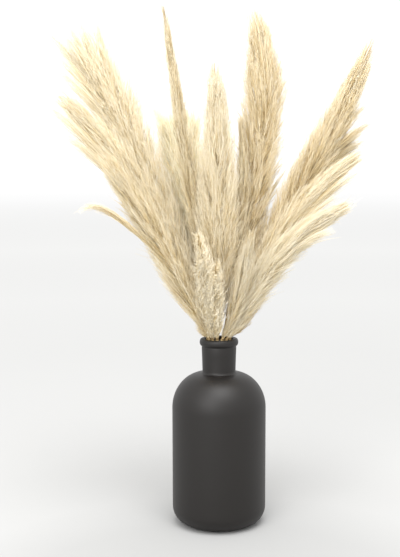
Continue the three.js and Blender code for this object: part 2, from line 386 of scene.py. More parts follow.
STALKS = (
    Stalk(
        "left_high", (-12.6, 8), (-58, 15, 380), (-124, 36, 526), (-185, 55, 652), 6, 34, 0.24, 0.6,
        paleness=0.1,
        fingers=(
            Finger(0.62, (-236, 62, 664), 3.6),
            Finger(0.66, (-205, 40, 650), 3.6),
            Finger(0.7, (-164, 60, 670), 3.2),
            Finger(0.6, (-211, 14, 601), 5),
            Finger(0.62, (-210, 30, 618), 3.4),
            Finger(0.7, (-186, 54, 668), 3.4),
            Finger(0.68, (-199, 50, 661), 3.2),
        ),
    ),
    Stalk(
        "left_mid", (-14.8, 0), (-58, -3, 361), (-116, -11, 498), (-207, -20, 568), 6, 27, 0.5, 0.2,
        paleness=0.05,
        fingers=(
            Finger(0.5, (-212, -38, 549), 3.2),
            Finger(0.46, (-192, -48, 516), 3.6),
        ),
    ),
    Stalk(
        "left_low", (-12.8, -7.4), (-46, -15, 331), (-95, -45, 418), (-143, -72, 489), 4, 18, 0.35, 0.4,
        paleness=-0.02,
        fingers=(
            Finger(0.35, (-170, -84, 423), 2.8, 0.26),
            Finger(0.45, (-140, -56, 470), 3),
        ),
    ),
    Stalk(
        "centre_left", (-8, 1.5), (-22, -1, 385), (-53, -12, 543), (-70, -25, 681), 50, 13.5, 0.72, 0.03,
        down=Down.TAN,
    ),
    Stalk(
        "pale_back", (-8.5, 10.5), (-26, 24, 350), (-46, 58, 465), (-61, 88, 557), 60, 34, 0.25, 0.6,
        down=Down.PALE,
        paleness=0.2,
        fingers=(
            Finger(0.6, (-90, 80, 558), 3.2),
            Finger(0.6, (-26, 84, 552), 3.2),
        ),
    ),
    Stalk(
        "centre", (-2, -7), (-1, -11, 364), (1, -25, 492), (-6, -40, 609), 20, 31, 0.58, 0.05,
        paleness=0.08,
    ),
    Stalk(
        "slim", (6, -4), (20, -2, 347), (42, 4, 436), (27, 10, 542), 66, 9, 0.5, 0.05,
        down=Down.TAN,
    ),
    Stalk(
        "tall", (11.5, 9.5), (28, 17, 391), (84, 39, 543), (48, 60, 687), 62, 30, 0.3, 0.12,
        paleness=-0.13,
        fingers=(
            Finger(0.3, (89, 44, 472), 2.2, 0.03),
            Finger(0.62, (89, 52, 592), 2.6),
        ),
    ),
    Stalk(
        "right_high", (14.7, 2.4), (75, 8, 385), (147, 22, 506), (202, 36, 638), 6, 28, 0.42, 0.12,
        paleness=-0.19,
        fingers=(
            Finger(0.5, (196, 50, 511), 3),
            Finger(0.56, (196, 16, 532), 3),
            Finger(0.5, (188, 32, 521), 3.2),
            Finger(0.52, (180, 26, 506), 3.4),
            Finger(0.6, (192, 30, 556), 2.8),
        ),
    ),
    Stalk(
        "right_mid", (14, -5), (47, -8, 335), (97, -16, 438), (183, -25, 494), 5, 19, 0.5, 0.2,
        paleness=0.06,
        fingers=(
            Finger(0.5, (177, -38, 470), 3),
            Finger(0.4, (148, -48, 440), 2.8),
        ),
    ),
    Stalk(
        "right_low", (10, -10.9), (44, -19, 324), (87, -48, 394), (162, -76, 430), 4, 20, 0.45, 0.2,
        paleness=0.26,
        fingers=(
            Finger(0.48, (137, -84, 397), 3),
        ),
    ),
    Stalk(
        "front_left", (-8, -12.4), (-22, -26, 292), (-15, -58, 356), (-27, -84, 397), 4, 12, 0.6, 0.06,
        habit=Habit.WOOLLY,
        paleness=0.15,
    ),
    Stalk(
        "front_middle", (-2.5, -14.6), (-7, -32, 294), (-6, -60, 330), (-3, -84, 361), 5, 12, 0.6, 0.15,
        habit=Habit.WOOLLY,
        paleness=0.1,
    ),
    Stalk(
        "front_right", (3.8, -14.2), (26, -24, 295), (33, -52, 350), (39, -78, 393), 4, 13, 0.55, 0.15,
        paleness=0.12,
    ),
)


class Arch:
    """A cubic curve from the mouth of the vase to a stalk's tip, measured along its length."""

    SAMPLES = 600
    NUDGE = 0.001

    def __init__(self, stalk: Stalk, mouth_height: float) -> None:
        """Measure the curve of one stalk.

        Args:
            stalk: The stalk.
            mouth_height: Height of the mouth of the vase, in millimetres.
        """
        self.points = np.array([(*stalk.mouth, mouth_height), stalk.rise, stalk.lean, stalk.tip], float)
        self.steps = np.linspace(0, 1, self.SAMPLES)
        self.travelled = distances(self._bezier(self.steps))
        self.length = float(self.travelled[-1])

    def _bezier(self, step: np.ndarray) -> np.ndarray:
        """Places on the curve at its own steps from 0 to 1."""
        s = np.asarray(step, float)[..., None]
        a, b, c, d = self.points
        return (1 - s) ** 3 * a + 3 * s * (1 - s) ** 2 * b + 3 * s * s * (1 - s) * c + s**3 * d

    def at(self, share: np.ndarray) -> np.ndarray:
        """Places at shares of the length."""
        return self._bezier(np.interp(np.asarray(share) * self.length, self.travelled, self.steps))

    def tangent(self, share: np.ndarray) -> np.ndarray:
        """Directions of growth at shares of the length."""
        share = np.clip(share, self.NUDGE, 1 - self.NUDGE)
        return unit(self.at(share + self.NUDGE) - self.at(share - self.NUDGE))

    def outward(self, share: np.ndarray, angle: np.ndarray) -> np.ndarray:
        """Find directions square to the curve.

        Args:
            share: Shares of the length.
            angle: Turn of each direction from +X towards +Y.

        Returns:
            The directions.
        """
        tangent = self.tangent(share)
        across = unit(np.cross(BACKWARDS, tangent))
        back = np.cross(tangent, across)
        return across * np.cos(angle)[:, None] + back * np.sin(angle)[:, None]


@dataclass
class HairMesh:
    """Triangles that are gathered in millimetres and then joined to one mesh."""

    points: list[np.ndarray] = field(default_factory=list)
    faces: list[np.ndarray] = field(default_factory=list)
    maps: list[np.ndarray] = field(default_factory=list)
    count: int = 0

    def add(self, points: np.ndarray, faces: np.ndarray, tone: np.ndarray, along: np.ndarray) -> None:
        """Add triangles.

        Args:
            points: Corner places.
            faces: Three point numbers for each triangle.
            tone: Tone of each point, from 0 for dark to 1 for pale.
            along: Place of each point along its hair, from 0 to 1.
        """
        self.points.append(points)
        self.faces.append(faces + self.count)
        self.maps.append(np.stack([tone, along], axis=-1))
        self.count += len(points)

    def build(self, name: str) -> bpy.types.Mesh:
        """Make one mesh of all the triangles, with the tone and place maps.

        Args:
            name: Its name.

        Returns:
            The mesh.
        """
        points = np.concatenate(self.points) * MM
        faces = np.concatenate(self.faces)
        maps = np.clip(np.concatenate(self.maps), MAP_MARGIN, 1 - MAP_MARGIN)
        mesh = bpy.data.meshes.new(name)
        mesh.vertices.add(len(points))
        mesh.vertices.foreach_set("co", points.astype(np.float32).ravel())
        mesh.loops.add(faces.size)
        mesh.loops.foreach_set("vertex_index", faces.astype(np.int32).ravel())
        mesh.polygons.add(len(faces))
        mesh.polygons.foreach_set("loop_start", np.arange(0, faces.size, 3, dtype=np.int32))
        corners = maps[faces.ravel()].astype(np.float32).ravel()
        for layer in (STRAND_MAP, BAKE_MAP):
            mesh.uv_layers.new(name=layer).uv.foreach_set("vector", corners)
        mesh.update()
        mesh.validate()
        return mesh


def finish_piece(mesh: bpy.types.Mesh, node: str, material: bpy.types.Material) -> None:
    """Make a piece of a mesh, dress it and let it stand for its solid.

    Args:
        mesh: The mesh, which has the piece's name.
        node: Name of the solid that it stands for.
        material: The finish.
    """
    piece = bpy.data.objects.new(mesh.name, mesh)
    bpy.context.scene.collection.objects.link(piece)
    mesh.materials.append(material)
    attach(piece, ROOT)
    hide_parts(node)
    LOG.info("%s: %d faces, %s", piece.name, len(mesh.polygons), material.name)


@dataclass
class BottleVase:
    """The blown bottle: one turned profile, up the outside, over the rim bead and down the inside.

    neck_fillet is how far the shoulder's fillet stands off the neck, and how high above the neck's start. lip
    is how far the mouth's rounded edge stands off the opening, and how deep below the rim.
    """

    body_radius: float = 62.5
    height: float = 250.0
    base_round: float = 23.0
    base_ring: float = 40.0
    shoulder_start: float = 157.0
    shoulder_ring: float = 20.0
    neck_start: float = 203.6
    neck_radius: float = 22.1
    neck_top_radius: float = 23.1
    neck_flare: float = 0.4
    neck_flare_drop: float = 12.0
    neck_fillet: tuple[Pair, ...] = ((2.2, 0.0), (0.9, 0.7), (0.2, 1.9), (0.0, 4.0))
    rim_radius: float = 25.7
    rim_half_height: float = 4.7
    rim_start: float = -0.9
    lip: tuple[Pair, ...] = ((1.2, 0.0), (0.35, 0.4), (0.0, 1.5))
    opening_radius: float = 19.0
    wall: float = 4.0
    dish_inset: float = 9.0
    dish_depth: float = 1.2
    foot_width: float = 4.0
    groove_edge: float = 0.3
    groove_depth: float = 0.7
    groove_half_height: float = 1.3
    round_steps: int = 16
    shoulder_steps: int = 26
    inner_shoulder_steps: int = 10
    inner_base_steps: int = 6
    facets: int = 128
    finish: SprayedGlass = field(default_factory=SprayedGlass)

    @staticmethod
    def arc(centre: Pair, radii: Pair, turn: Pair, steps: int) -> list[Pair]:
        """Points of an ellipse's arc, without its first one.

        Args:
            centre: Radius and height of the ellipse's centre.
            radii: Half sizes across and up.
            turn: First and last angle, in quarter turns.
            steps: How many points.

        Returns:
            Radius and height of each point.
        """
        angles = [math.pi / 2 * between(step / steps, turn) for step in range(1, steps + 1)]
        return [(centre[0] + radii[0] * math.cos(a), centre[1] + radii[1] * math.sin(a)) for a in angles]

    def profile(self) -> list[Pair]:
        """List the profile's points.

        Returns:
            Radius and height of each, from the middle of the base to the middle of the floor.
        """
        flat = self.body_radius - self.base_round
        inner = self.body_radius - self.wall
        inner_round = self.base_round - self.wall
        inner_neck = self.neck_start - self.wall
        rim_middle = self.height - self.rim_half_height
        rim_out = self.rim_radius - self.neck_top_radius
        groove = rim_middle - self.rim_half_height
        shoulder = self.arc(
            (self.neck_radius, self.shoulder_start),
            (self.body_radius - self.neck_radius, self.neck_start - self.shoulder_start),
            (0, 1),
            self.shoulder_steps,
        )
        inner_shoulder = self.arc(
            (self.opening_radius, self.shoulder_start),
            (inner - self.opening_radius, inner_neck - self.shoulder_start),
            (1, 0),
            self.inner_shoulder_steps,
        )
        rim_radii = (rim_out, self.rim_half_height)
        return [
            (0.0, self.dish_depth),
            (flat - self.dish_inset, self.dish_depth),
            (flat - self.foot_width, 0.0),
            (flat, 0.0),
            *self.arc((flat, self.base_round), (self.base_round,) * 2, (-1, 0), self.round_steps),
            (self.body_radius, self.base_round + self.base_ring),
            (self.body_radius, self.shoulder_start - self.shoulder_ring),
            (self.body_radius, self.shoulder_start),
            # The fillet takes the place of the shoulder's last two points
            *shoulder[:-2],
            *((self.neck_radius + out, self.neck_start + up) for out, up in self.neck_fillet),
            (self.neck_top_radius - self.neck_flare, groove - self.neck_flare_drop),
            (self.neck_top_radius, groove - 2 * self.groove_half_height),
            (self.neck_top_radius - self.groove_edge, groove - self.groove_half_height),
            (self.neck_top_radius - self.groove_depth, groove),
            *self.arc((self.neck_top_radius, rim_middle), rim_radii, (self.rim_start, 1), self.round_steps),
            *((self.opening_radius + out, self.height - down) for out, down in self.lip),
            (self.opening_radius, self.neck_start),
            (self.opening_radius, inner_neck),
            *inner_shoulder,
            (inner, self.base_round),
            *self.arc((flat, self.base_round), (inner_round,) * 2, (0, -1), self.inner_base_steps),
            (0.0, self.wall),
        ]

    def build(self) -> None:
        """Turn the profile, dress it and let it stand for the vase's solid."""
        profile = self.profile()
        angles = np.arange(self.facets) * 2 * math.pi / self.facets
        points = [
            (radius * math.cos(a) * MM, radius * math.sin(a) * MM, height * MM)
            for radius, height in profile[1:-1]
            for a in angles
        ]
        base, floor = len(points), len(points) + 1
        last = len(points) - self.facets
        points += [(0, 0, profile[0][1] * MM), (0, 0, profile[-1][1] * MM)]
        faces: list[tuple[int, ...]] = []
        for step in range(self.facets):
            beside = (step + 1) % self.facets
            faces.append((base, beside, step))
            faces.append((floor, last + step, last + beside))
            for ring in range(0, last, self.facets):
                upper = ring + self.facets
                faces.append((ring + step, ring + beside, upper + beside, upper + step))
        mesh = bpy.data.meshes.new("bottle_vase")
        mesh.from_pydata(points, [], faces)
        mesh.shade_smooth()
        mesh.update()
        finish_piece(mesh, "vase", self.finish.build())


@dataclass
class Stem:
    """One cane from its foot in the vase, up through the neck and on into its plume."""

    stalk: Stalk
    arch: Arch
    vase: BottleVase
    radius: float = 2.0
    sides: int = 10
    foot_height: float = 7.0
    foot_splay: float = 1.5
    foot_forward: float = 18.0
    below_neck: float = 8.0
    below_rim: float = 12.0
    marks_above: int = 4
    ring_spacing: float = 6.0
    node_spacing: float = 46.0
    node_offset: float = 10.0
    node_length: float = 3.0
    node_swell: float = 0.35
    tone: float = 0.5

    def route(self) -> np.ndarray:
        """Run the cane's middle from its foot to the plume.

        Returns:
            Places along it, at nearly even steps.
        """
        x, y = self.stalk.mouth
        top = self.stalk.bare / self.arch.length
        marks = [
            (x * self.foot_splay, y * self.foot_splay - self.foot_forward, self.foot_height),
            (x, y, self.vase.neck_start - self.below_neck),
            (x, y, self.vase.height - self.below_rim),
            *self.arch.at(np.linspace(0, top, self.marks_above)),
        ]
        return smooth_path(np.array(marks), self.ring_spacing)

    def build(self, material: bpy.types.Material) -> None:
        """Make the cane as a tube with slightly swollen nodes.

        Args:
            material: Its finish.
        """
        middle = self.route()
        travelled = distances(middle) + self.node_offset
        from_node = np.abs(travelled % self.node_spacing - self.node_spacing / 2)
        radius = self.radius + self.node_swell * (np.exp(-((from_node / self.node_length) ** 2)) - 1)
        points, faces = tube(middle, radius, self.sides)
        cane = HairMesh()
        cane.add(points, faces, np.full(len(points), self.tone), np.linspace(0, 1, len(points)))
        mesh = cane.build(f"cane_{self.stalk.name}")
        mesh.shade_smooth()
        finish_piece(mesh, f"stem_{self.stalk.name}", material)


def smooth_path(marks: np.ndarray, spacing: float) -> np.ndarray:
    """Run a smooth curve through marks.

    Args:
        marks: Places that the curve passes through.
        spacing: Wanted distance between its points.

    Returns:
        Points along the curve.
    """
    ends = np.vstack([2 * marks[0] - marks[1], marks, 2 * marks[-1] - marks[-2]])
    points = []
    for before, low, high, after in zip(ends, ends[1:], ends[2:], ends[3:]):
        count = max(2, int(np.linalg.norm(high - low) / spacing))
        s = np.linspace(0, 1, count, endpoint=False)[:, None]
        bend = 2 * before - 5 * low + 4 * high - after
        turn = -before + 3 * low - 3 * high + after
        points.append(0.5 * (2 * low + (high - before) * s + bend * s**2 + turn * s**3))
    return np.vstack([*points, marks[-1:]])


def tube(middle: np.ndarray, radius: np.ndarray, sides: int) -> tuple[np.ndarray, np.ndarray]:
    """Make a closed tube round a path.

    Args:
        middle: Points along the path.
        radius: Radius at each point.
        sides: How many sides the tube has.

    Returns:
        The tube's points, and its triangles as point numbers.
    """
    tangent = unit(np.gradient(middle, axis=0))
    across = unit(np.cross(BACKWARDS, tangent))
    back = np.cross(tangent, across)
    angle = np.arange(sides) * 2 * math.pi / sides
    rings = (
        middle[:, None]
        + radius[:, None, None] * across[:, None] * np.cos(angle)[:, None]
        + radius[:, None, None] * back[:, None] * np.sin(angle)[:, None]
    )
    points = np.vstack([rings.reshape(-1, 3), middle[:1], middle[-1:]])
    ring = np.arange(len(middle) - 1)[:, None] * sides
    step = np.arange(sides)
    beside = (step + 1) % sides
    low, low_beside = ring + step, ring + beside
    high, high_beside = low + sides, low_beside + sides
    walls = np.concatenate(
        [
            np.stack([low, low_beside, high_beside], -1).reshape(-1, 3),
            np.stack([low, high_beside, high], -1).reshape(-1, 3),
        ]
    )
    foot, head = len(points) - 2, len(points) - 1
    last = (len(middle) - 1) * sides
    caps = np.concatenate(
        [
            np.stack([np.full(sides, foot), beside, step], -1),
            np.stack([np.full(sides, head), last + step, last + beside], -1),
        ]
    )
    return points, np.concatenate([walls, caps])


@dataclass
class Locks:
    """Locks of one kind.

    lines are points along each lock's middle, each the number of its strands, and hair_scale how long the
    hairs are at its foot and tip against the longest. fan is 0 for locks that close to a point and 1 for
    locks that open. strand_scale is how thick the strands are against the usual ones, and ends the least and
    greatest share of a lock at which one ends.
    """

    lines: np.ndarray
    radius: np.ndarray
    each: np.ndarray
    hair_scale: np.ndarray
    tone_shift: float = 0.0
    fan: float = 0.0
    strand_scale: float = 1.0
    ends: Pair = (0.64, 1.08)


@dataclass(frozen=True)
class Filling:
    """One way to fill a long lock.

    share is the part of the strands, and radius the width against the lock's thickness, that the slimmest
    lock and the broadest one get. The rest is as in Locks.
    """

    strands: int
    share: Pair
    radius: Pair
    hair_scale: float
    tone_shift: float
    fan: float
    strand_scale: float
    ends: Pair


class FingerPart(Enum):
    """The parts of a long lock: its core, and the few loose strands that open round it."""

    CORE = Filling(110, (0.3, 1.0), (0.9, 1.6), 1.0, 0.02, 0.3, 1.0, (0.7, 1.08))
    HALO = Filling(45, (0.2, 1.0), (1.0, 3.3), 0.6, -0.22, 1.0, 1.4, (0.65, 1.06))


@dataclass
class Strands:
    """Many fine strands: their points, a tone for each, and how long its hairs are at its foot and tip."""

    places: np.ndarray
    tone: np.ndarray
    hair_scale: np.ndarray
    width: float


@dataclass
class Plume:
    """One plume: locks of strands round the rachis, each strand clad in fine hairs.

    Pairs are the least and the greatest of a size, or its sizes at the foot and the tip. A share is of the
    plume's half width there, of the stalk's length, or of what its name says. Phases keep the spread sizes
    of one lock apart.
    """

    stalk: Stalk
    arch: Arch
    number: int
    start: float = field(init=False)
    random: np.random.Generator = field(init=False)

    # The outline, and the locks all round the rachis
    base_width_share: float = 0.62
    swell_share: float = 0.25
    narrowing_power: float = 1.4
    least_room: float = 5.0
    least_locks: int = 6
    strands_per_area: float = 0.25
    strands_per_lock: int = 14
    angle_scatter: float = 0.25
    root_span: float = 0.86
    root_samples: int = 200
    crowd_ahead: float = 0.05
    lock_length: float = 66.0
    length_range: Pair = (0.7, 1.3)
    length_phase: float = 0.3
    least_reach: float = 0.02
    tip_stagger: float = 0.07
    reach_phase: float = 0.45
    belly_share: float = 0.6
    tip_share: Pair = (0.78, 1.2)
    lock_radius_share: float = 0.21
    radius_range: Pair = (0.8, 1.2)
    radius_phase: float = 0.7
    guide_points: int = 9

    # The short locks that spill over the rim, under plumes with little bare stem
    skirt_bare: float = 10.0
    skirt_locks: int = 16
    skirt_root: float = 0.3
    skirt_root_span: float = 4.0
    skirt_phase: float = 0.1
    skirt_height: float = 32.0
    skirt_rise: Pair = (0.25, 1.25)
    rise_phase: float = 0.6
    skirt_distance: Pair = (0.15, 0.65)
    skirt_belly: float = 0.42
    skirt_radius_share: float = 0.12
    skirt_hair_scale: Pair = (0.45, 0.6)

    # The fine wisps that stand off the plume, and the spikes that stand up past its tip
    wisps: int = 130
    strands_per_wisp: int = 2
    wisp_strand_scale: float = 1.7
    wisp_tone: float = -0.22
    wisp_radius: float = 0.7
    wisp_roots: Pair = (0.1, 0.92)
    wisp_length: Pair = (40.0, 75.0)
    wisp_low: float = 0.3
    wisp_belly: float = 0.75
    wisp_distance: Pair = (1.05, 1.45)
    wisp_clear: float = 3.0
    wisp_hair_scale: Pair = (0.45, 0.22)
    least_blunt: float = 0.1
    spikes: int = 40
    spike_roots: Pair = (0.08, 0.3)
    spike_past: Pair = (-10.0, 14.0)
    spike_width_at: float = 0.88
    spike_low: float = 0.4
    spike_distance: Pair = (0.1, 0.9)
    spike_bow: float = 0.08
    spike_hair_scale: Pair = (0.5, 0.3)

    # The long locks that stand off on their own
    slim_to_broad: Pair = (2.0, 3.2)
    finger_hair_scale: Pair = (0.85, 0.5)
    hair_by_thickness: float = 0.24
    most_finger_hair: float = 0.9

    # The strands in a lock
    strand_points: int = 5
    strand_starts: Pair = (-0.04, 0.42)
    strand_width: float = 0.55
    strand_taper: Pair = (1.0, 0.25)
    lock_foot: float = 0.12
    lock_power: float = 0.8
    fan_foot: float = 0.15
    fan_end: float = 1.1
    stray_share: float = 0.22
    least_stray: float = 0.5
    wave: float = 0.8
    wave_range: Pair = (0.4, 1.3)
    wave_growth: Pair = (0.3, 1.0)
    wave_length: float = 24.0
    wave_length_range: Pair = (0.7, 1.4)

    # The hairs on a strand, which are shorter where the plume is slim
    hairs_per_strand: int = 18
    hair_crowding: float = 1.25
    hair_length: float = 8.0
    hair_length_range: Pair = (0.6, 1.3)
    hair_room: float = 5.0
    full_hair_room: float = 13.0
    least_hair_scale: float = 0.42
    hair_width: float = 0.46
    width_up_strand: Pair = (1.0, 0.55)
    width_by_scale: Pair = (0.4, 1.0)
    hair_lean: Pair = (4.0, 42.0)

    # Tones, and how far along the colour of a hair's tip a ribbon's end, a hair's root and its own tip are
    middle_tone: float = 0.66
    lock_tones: float = 0.045
    strand_tones: float = 0.11
    hair_tones: float = 0.15
    # Painted light and shade: strands at a lock's outside are paler, those deep in it darker
    painted_light_outside: float = 0.1
    # Painted shade: the down deep in the plume is darker
    painted_shade_inside: float = 0.28
    inside_from: float = 0.55
    outside_to: float = 0.9
    # Paler towards the plume's tip: partly the down's own paler tip, partly painted shade at its foot
    paler_to_tip: float = 0.16
    shading_samples: int = 60
    dark_share: float = 0.28
    dark_and_pale: Pair = (-0.22, 0.08)
    warm_share: float = 0.07
    warmer: float = 0.3
    # The ends pale towards the tips' colour: partly the down's own paler tips, partly painted shade at the
    # roots
    ribbon_along: float = 0.8
    root_along: float = 0.7
    hair_along: float = 0.3

    # The rachis
    rachis_end: float = 0.99
    rachis_points: int = 40
    rachis_sides: int = 6
    rachis_radius: Pair = (1.5, 0.375)
    rachis_tones: Pair = (0.1, 0.2)
    rachis_along: Pair = (0.0, 0.4)

    def __post_init__(self) -> None:
        """Start this plume's own seeded randomness, and fit its sizes to its stalk's habit."""
        self.random = np.random.default_rng(FIRST_SEED + self.number)
        self.start = self.stalk.bare / self.arch.length
        if self.stalk.blunt < self.least_blunt:
            self.spikes = 0
        if self.stalk.habit is Habit.WOOLLY:
            self.base_width_share = 0.42
            self.lock_length = 46.0
            self.tip_stagger = 0.3
            self.paler_to_tip = 0.05
            self.strand_points = 20
            self.strand_width = 0.85
            self.stray_share = 0.5
            self.wave = 3.0
            self.wave_length = 15.0
            self.lock_radius_share = 0.34
            # More painted shade deep in a woolly plume
            self.painted_shade_inside = 0.5
            self.strands_per_area = 0.3
            self.hairs_per_strand = 16
            self.hair_length = 4.5
            self.hair_lean = (15.0, 75.0)
            self.wisps = 24
            self.spikes = 0

    def half_width(self, share: np.ndarray) -> np.ndarray:
        """Find half the plume's width, which swells from its base and narrows to its tip.

        Args:
            share: Shares of the stalk.

        Returns:
            Half the width at each.
        """
        along = (share - self.start) / (1 - self.start)
        swell = between(ramp(along, 0, self.swell_share), (self.base_width_share, 1))
        narrowing = np.clip((along - 1 + self.stalk.taper) / self.stalk.taper, 0, 1) ** self.narrowing_power
        return self.stalk.width * swell * between(narrowing, (1, self.stalk.blunt))

    def hair_scale(self, share: np.ndarray) -> np.ndarray:
        """How long the hairs are at shares of the stalk, against the longest."""
        room = (self.half_width(share) + self.hair_room) / self.full_hair_room
        return np.clip(room, self.least_hair_scale, 1.0)

    def beside(self, share: np.ndarray, angle: np.ndarray, distance: np.ndarray) -> np.ndarray:
        """Places at shares of the stalk, each at a distance from it in the direction of an angle."""
        return self.arch.at(share) + self.arch.outward(share, angle) * distance[:, None]

    def curved(self, low: np.ndarray, belly: np.ndarray, tip: np.ndarray) -> np.ndarray:
        """Curves from low through belly to tip, as points."""
        s = np.linspace(0, 1, self.guide_points)[None, :, None]
        control = 2 * belly - (low + tip) / 2
        return (1 - s) ** 2 * low[:, None] + 2 * s * (1 - s) * control[:, None] + s**2 * tip[:, None]

    def main_locks(self) -> Locks:
        """Set the locks all round the rachis, in number by the plume's area.

        Returns:
            The locks.
        """
        area = self.arch.length * (1 - self.start) * self.stalk.width
        count = max(self.least_locks, round(area * self.strands_per_area / self.strands_per_lock))
        index = np.arange(count)
        angle = index * GOLDEN_ANGLE + self.random.normal(0, self.angle_scatter, count)
        share = between(np.linspace(0, self.root_span, self.root_samples), (self.start, 1))
        crowd = np.cumsum(self.half_width(share + self.crowd_ahead) + self.least_room)
        root = np.interp((index + 0.5) / count, crowd / crowd[-1], share)
        length = self.lock_length * between(spread(index, self.length_phase), self.length_range)
        last_reach = 1.0 - self.tip_stagger * spread(index, self.reach_phase)
        reach = np.minimum(root + length / self.arch.length, last_reach)
        reach = np.maximum(reach, root + self.least_reach)
        middle = (root + reach) / 2
        belly = self.beside(middle, angle, self.belly_share * self.half_width(middle))
        tip = self.beside(reach, angle, between(spread(index), self.tip_share) * self.half_width(reach))
        radii = between(spread(index, self.radius_phase), self.radius_range)
        return Locks(
            self.curved(self.arch.at(root), belly, tip),
            radius=self.lock_radius_share * self.stalk.width * radii,
            each=np.full(count, self.strands_per_lock),
            hair_scale=np.stack([self.hair_scale(root), self.hair_scale(reach)], axis=1),
        )

    def skirt(self) -> Locks:
        """Set the short locks that spill over the rim at the plume's foot.

        Returns:
            The locks.
        """
        index = np.arange(self.skirt_locks)
        angle = index * GOLDEN_ANGLE
        root_span = self.skirt_root_span / self.arch.length
        root = self.skirt_root * self.start + root_span * spread(index, self.skirt_phase)
        rise = between(spread(index, self.rise_phase), self.skirt_rise)
        reach = root + self.skirt_height * rise / self.arch.length
        distance = self.stalk.width * between(rise, self.skirt_distance)
        belly = self.beside((root + reach) / 2, angle, self.skirt_belly * distance)
        return Locks(
            self.curved(self.arch.at(root), belly, self.beside(reach, angle, distance)),
            radius=np.full(self.skirt_locks, self.skirt_radius_share * self.stalk.width),
            each=np.full(self.skirt_locks, self.strands_per_lock),
            hair_scale=np.tile(self.skirt_hair_scale, (self.skirt_locks, 1)),
        )

    def sparse(self, lines: np.ndarray, hair_scale: np.ndarray) -> Locks:
        """Make locks of a few thick and darker strands.

        Args:
            lines: Points along each lock's middle.
            hair_scale: How long the hairs are at each lock's foot and tip, against the longest.

        Returns:
            The locks.
        """
        radius = np.full(len(lines), self.wisp_radius)
        each = np.full(len(lines), self.strands_per_wisp)
        return Locks(lines, radius, each, hair_scale, self.wisp_tone, strand_scale=self.wisp_strand_scale)

    def fine_wisps(self) -> Locks:
        """Set the fine wisps that stand off the plume.

        Returns:
            The locks.
        """
        angle = self.random.uniform(0, 2 * math.pi, self.wisps)
        root = between((np.arange(self.wisps) + 0.5) / self.wisps, self.wisp_roots)
        root = between(root, (self.start, 1))
        length = self.random.uniform(*self.wisp_length, self.wisps)
        reach = np.minimum(root + length / self.arch.length, 1.0)
        middle = (root + reach) / 2
        distance = self.half_width(reach) * self.random.uniform(*self.wisp_distance, self.wisps)
        low = self.beside(root, angle, self.wisp_low * self.half_width(root))
        belly = self.beside(middle, angle, self.wisp_belly * self.half_width(middle))
        tip = self.beside(reach, angle, distance + self.wisp_clear)
        hair_scale = self.hair_scale(reach)[:, None] * self.wisp_hair_scale
        return self.sparse(self.curved(low, belly, tip), hair_scale)

    def tip_spikes(self) -> Locks:
        """Set the fine spikes that stand up past the plume's tip.

        Returns:
            The locks.
        """
        angle = self.random.uniform(0, 2 * math.pi, self.spikes)
        root = 1 - self.random.uniform(*self.spike_roots, self.spikes)
        end = np.ones(self.spikes)
        past = self.random.uniform(*self.spike_past, self.spikes)
        width = self.half_width(self.spike_width_at * end)
        distance = width * self.random.uniform(*self.spike_distance, self.spikes)
        low = self.beside(root, angle, self.spike_low * self.half_width(root))
        tip = self.beside(end, angle, distance) + self.arch.tangent(end) * past[:, None]
        belly = (low + tip) / 2 + self.arch.outward(end, angle) * self.spike_bow * distance[:, None]
        return self.sparse(self.curved(low, belly, tip), np.tile(self.spike_hair_scale, (self.spikes, 1)))

    def long_fingers(self, filling: Filling) -> Locks:
        """Set the long locks that stand off the plume on their own.

        Args:
            filling: How to fill them.

        Returns:
            The locks.
        """
        fingers = self.stalk.fingers
        leaves = np.array([finger.leaves for finger in fingers])
        low = self.arch.at(leaves)
        tip = np.array([finger.tip for finger in fingers], float)
        length = np.linalg.norm(tip - low, axis=1, keepdims=True)
        bow = self.arch.tangent(leaves) * np.array([[finger.bow] for finger in fingers]) * length
        thick = np.array([finger.thick for finger in fingers])
        broad = ramp(thick, *self.slim_to_broad)
        scale = filling.hair_scale * np.clip(self.hair_by_thickness * thick, 0, self.most_finger_hair)
        return Locks(
            self.curved(low, (low + tip) / 2 + bow, tip),
            radius=thick * between(broad, filling.radius),
            each=np.round(filling.strands * between(broad, filling.share)).astype(int),
            hair_scale=scale[:, None] * self.finger_hair_scale,
            tone_shift=filling.tone_shift,
            fan=filling.fan,
            strand_scale=filling.strand_scale,
            ends=filling.ends,
        )

    def shading(self, places: np.ndarray) -> np.ndarray:
        """Find the painted shade that the down's place adds: darker deep in the plume, and paler towards its
        tip, partly its own paler tip and partly painted shade at its foot.

        Args:
            places: Places of the strands' middles.

        Returns:
            What to add to each strand's tone.
        """
        share = np.linspace(self.start, 1, self.shading_samples)
        apart = np.linalg.norm(places[:, None] - self.arch.at(share)[None], axis=-1)
        nearest = apart.argmin(axis=1)
        outwards = apart.min(axis=1) / np.maximum(self.half_width(share)[nearest], self.least_room)
        along = nearest / (len(share) - 1)
        # Painted shade deep in the plume, paler towards its outside
        deep = self.painted_shade_inside * (np.clip(outwards, 0, self.outside_to) - self.inside_from)
        # Paler towards the tip: partly the down's own paler tip, partly painted shade at the foot
        return deep + self.paler_to_tip * (along - 0.5)

